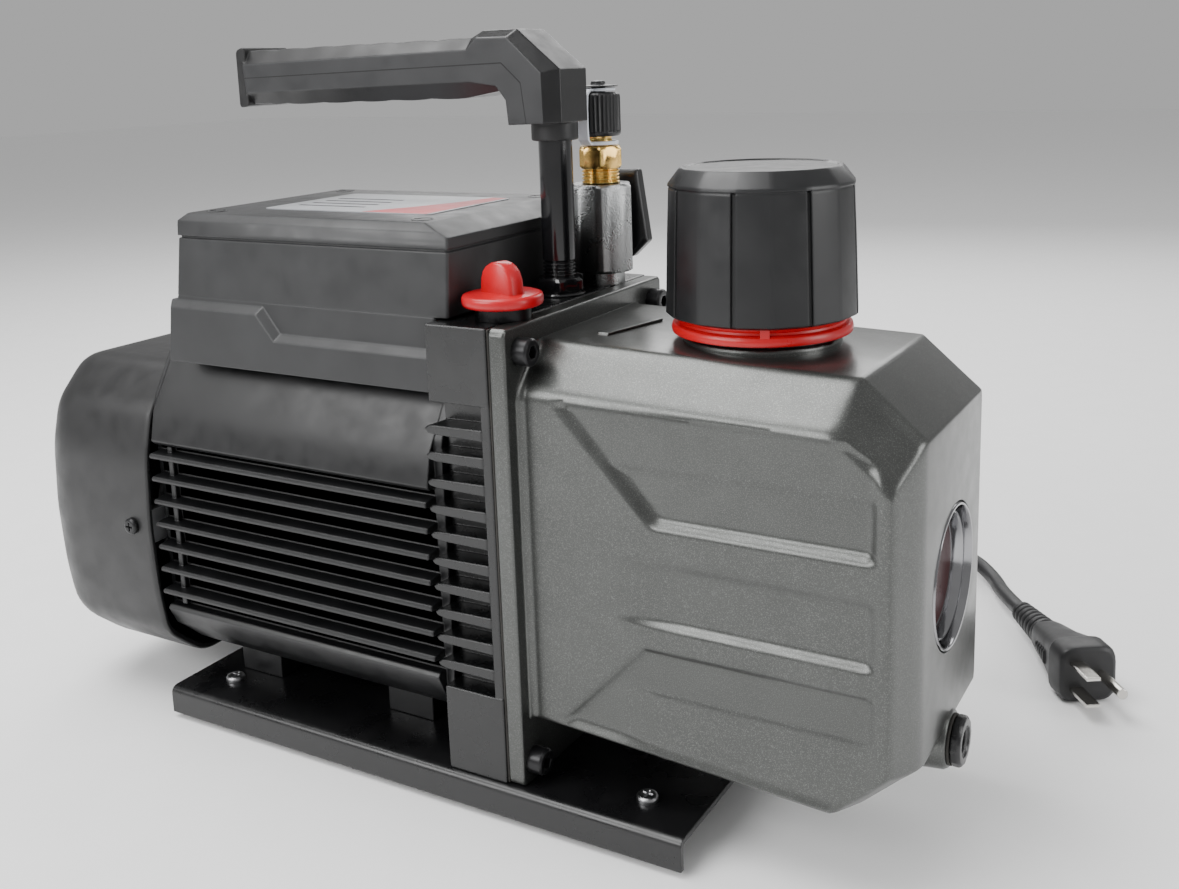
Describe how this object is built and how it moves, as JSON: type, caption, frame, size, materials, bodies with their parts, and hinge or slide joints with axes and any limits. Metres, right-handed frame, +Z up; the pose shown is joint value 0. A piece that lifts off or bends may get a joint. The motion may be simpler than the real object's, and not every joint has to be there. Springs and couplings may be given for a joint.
{
  "type": "rotary vane vacuum pump",
  "caption": "Two-stage rotary vane vacuum pump with ribbed motor, oil case, exhaust cap, carrying handle, flare inlet, gas-ballast knob, sight glass and mains cord.",
  "frame": {"origin": "on the surface that the rubber feet stand on, under the middle of the pump without its cord", "axes": "+X along the shaft from the motor to the front of the oil case, -Y the side with the gas-ballast knob, +Z up"},
  "size_m": [0.477, 0.3486, 0.3141],
  "materials": {
    "black_sheet": "satin powder coat",
    "foot_rubber": "matte",
    "screw_steel": "plain",
    "black_screw": "black oxide",
    "motor_paint": "satin black paint over an aluminium casting",
    "shield_aluminium": "as cast",
    "cover_plastic": "fine moulded texture",
    "box_plastic": "fine moulded texture",
    "fan_plastic": "moulded",
    "shaft_steel": "ground",
    "lamination": "stacked sheet",
    "copper_winding": "varnished",
    "label_silver": "printed foil",
    "capacitor_can": "moulded",
    "block_plastic": "moulded",
    "switch_black": "gloss",
    "switch_red": "gloss",
    "gland_rubber": "matte",
    "bracket_paint": "satin black paint over an aluminium casting",
    "case_paint": "metallic grey paint with a fine sparkle over an aluminium casting",
    "gasket_fibre": "matte",
    "pump_iron": "machined",
    "coupling_plastic": "moulded",
    "vane_composite": "machined composite",
    "seat_metal": "turned",
    "red_plastic": "gloss",
    "red_ring": "gloss silicone",
    "cap_plastic": "satin moulded",
    "filter_media": "felt",
    "bezel_chrome": "polished",
    "sight_glass": "clear over dark oil",
    "drain_plastic": "satin",
    "post_paint": "gloss black",
    "grip_plastic": "charcoal moulded with gloss stripe",
    "zinc_steel": "zinc plated, blasted",
    "fitting_brass": "turned",
    "cap_black": "knurled",
    "strap_white": "translucent",
    "prong_nickel": "nickel plated"
  },
  "bodies": {
    "pump": {"base_plate": "black_sheet", "rubber_feet": "foot_rubber", "foot_screws": "screw_steel", "plate_bolts": "screw_steel", "pump_bolts": "screw_steel", "fan_cover_screws": "black_screw", "lid_screws": "black_screw", "flange_bolts": "black_screw", "motor_housing": "motor_paint", "rear_end_shield": "shield_aluminium", "fan_cover": "cover_plastic", "terminal_box": "box_plastic", "terminal_box_lid": "box_plastic", "motor_bearings": "shaft_steel", "stator_core": "lamination", "stator_windings": "copper_winding", "rating_plate": "label_silver", "run_capacitor": "capacitor_can", "terminal_block": "block_plastic", "switch_housing": "switch_black", "cord_gland": "gland_rubber", "power_cord": "gland_rubber", "cord_coil": "gland_rubber", "plug_body": "gland_rubber", "pump_bracket": "bracket_paint", "oil_case": "case_paint", "case_gasket": "gasket_fibre", "shaft_seal": "gasket_fibre", "rear_end_plate": "pump_iron", "high_stage_cylinder": "pump_iron", "centre_plate": "pump_iron", "low_stage_cylinder": "pump_iron", "front_end_plate": "pump_iron", "ballast_seat": "seat_metal", "exhaust_seal_ring": "red_ring", "exhaust_neck": "cap_plastic", "sight_bezel": "bezel_chrome", "sight_glass": "sight_glass", "handle_post": "post_paint", "handle_nut": "post_paint", "handle_grip": "grip_plastic", "inlet_body": "zinc_steel", "inlet_flare": "fitting_brass", "plug_prongs": "prong_nickel"},
    "rotor": {"motor_shaft": "shaft_steel", "motor_rotor": "lamination", "cooling_fan": "fan_plastic", "shaft_coupling": "coupling_plastic", "pump_rotor": "shaft_steel", "vanes": "vane_composite"},
    "exhaust_filter": {"exhaust_filter": "filter_media"},
    "exhaust_cap": {"exhaust_cap": "cap_plastic"},
    "cap_strap": {"cap_strap": "strap_white"},
    "inlet_cap": {"inlet_cap": "cap_black"},
    "drain_seal": {"drain_seal": "gasket_fibre"},
    "drain_plug": {"drain_plug": "drain_plastic"},
    "ballast_knob": {"ballast_knob": "red_plastic"},
    "isolation_lever": {"isolation_lever": "cap_black"},
    "switch_rocker": {"switch_rocker": "switch_red"},
    "valve_flap": {"valve_flap": "shaft_steel"}
  },
  "joints": [
    {"name": "rotor_spin", "type": "hinge", "parent": "pump", "child": "rotor", "pos_m": [0.04462, 0, 0.0945], "axis": [1, 0, 0], "continuous": true},
    {"name": "cap_lift", "type": "slide", "parent": "pump", "child": "exhaust_filter", "axis": [0, 0, 1], "range_m": [0, 0.015]},
    {"name": "cap_turn", "type": "hinge", "parent": "exhaust_filter", "child": "exhaust_cap", "pos_m": [0.13592, 0, 0.2036], "axis": [0, 0, 1], "range_deg": [0, 1833]},
    {"name": "dust_cap_lift", "type": "slide", "parent": "pump", "child": "cap_strap", "axis": [0, 0, 1], "range_m": [0, 0.008]},
    {"name": "dust_cap_turn", "type": "hinge", "parent": "cap_strap", "child": "inlet_cap", "pos_m": [0.04433, 0.0393, 0.2676], "axis": [0, 0, 1], "range_deg": [0, 1833]},
    {"name": "drain_back_out", "type": "slide", "parent": "pump", "child": "drain_seal", "axis": [1, 0, 0], "range_m": [0, 0.009]},
    {"name": "drain_turn", "type": "hinge", "parent": "drain_seal", "child": "drain_plug", "pos_m": [0.21222, 0, 0.0435], "axis": [1, 0, 0], "range_deg": [0, 2188]},
    {"name": "ballast_turn", "type": "hinge", "parent": "pump", "child": "ballast_knob", "pos_m": [0.04612, -0.044, 0.208], "axis": [0, 0, 1], "range_deg": [0, 270]},
    {"name": "isolation_turn", "type": "hinge", "parent": "pump", "child": "isolation_lever", "pos_m": [0.04433, 0.06, 0.2285], "axis": [0, 1, 0], "range_deg": [0, 90]},
    {"name": "switch_tilt", "type": "hinge", "parent": "pump", "child": "switch_rocker", "pos_m": [-0.03537, 0.059, 0.209], "axis": [1, 0, 0], "range_deg": [0, 18]},
    {"name": "valve_lift", "type": "hinge", "parent": "pump", "child": "valve_flap", "pos_m": [0.12462, 0.017, 0.1315], "axis": [1, 0, 0], "range_deg": [-10, 0], "stiffness_Nm_per_rad": 0.05, "springref_deg": 1.15}
  ],
  "couplings": [
    {"joint": "cap_turn", "follows": "cap_lift", "rad_per_m": 2094.4},
    {"joint": "dust_cap_turn", "follows": "dust_cap_lift", "rad_per_m": 3927},
    {"joint": "drain_turn", "follows": "drain_back_out", "rad_per_m": 4188.8}
  ]
}
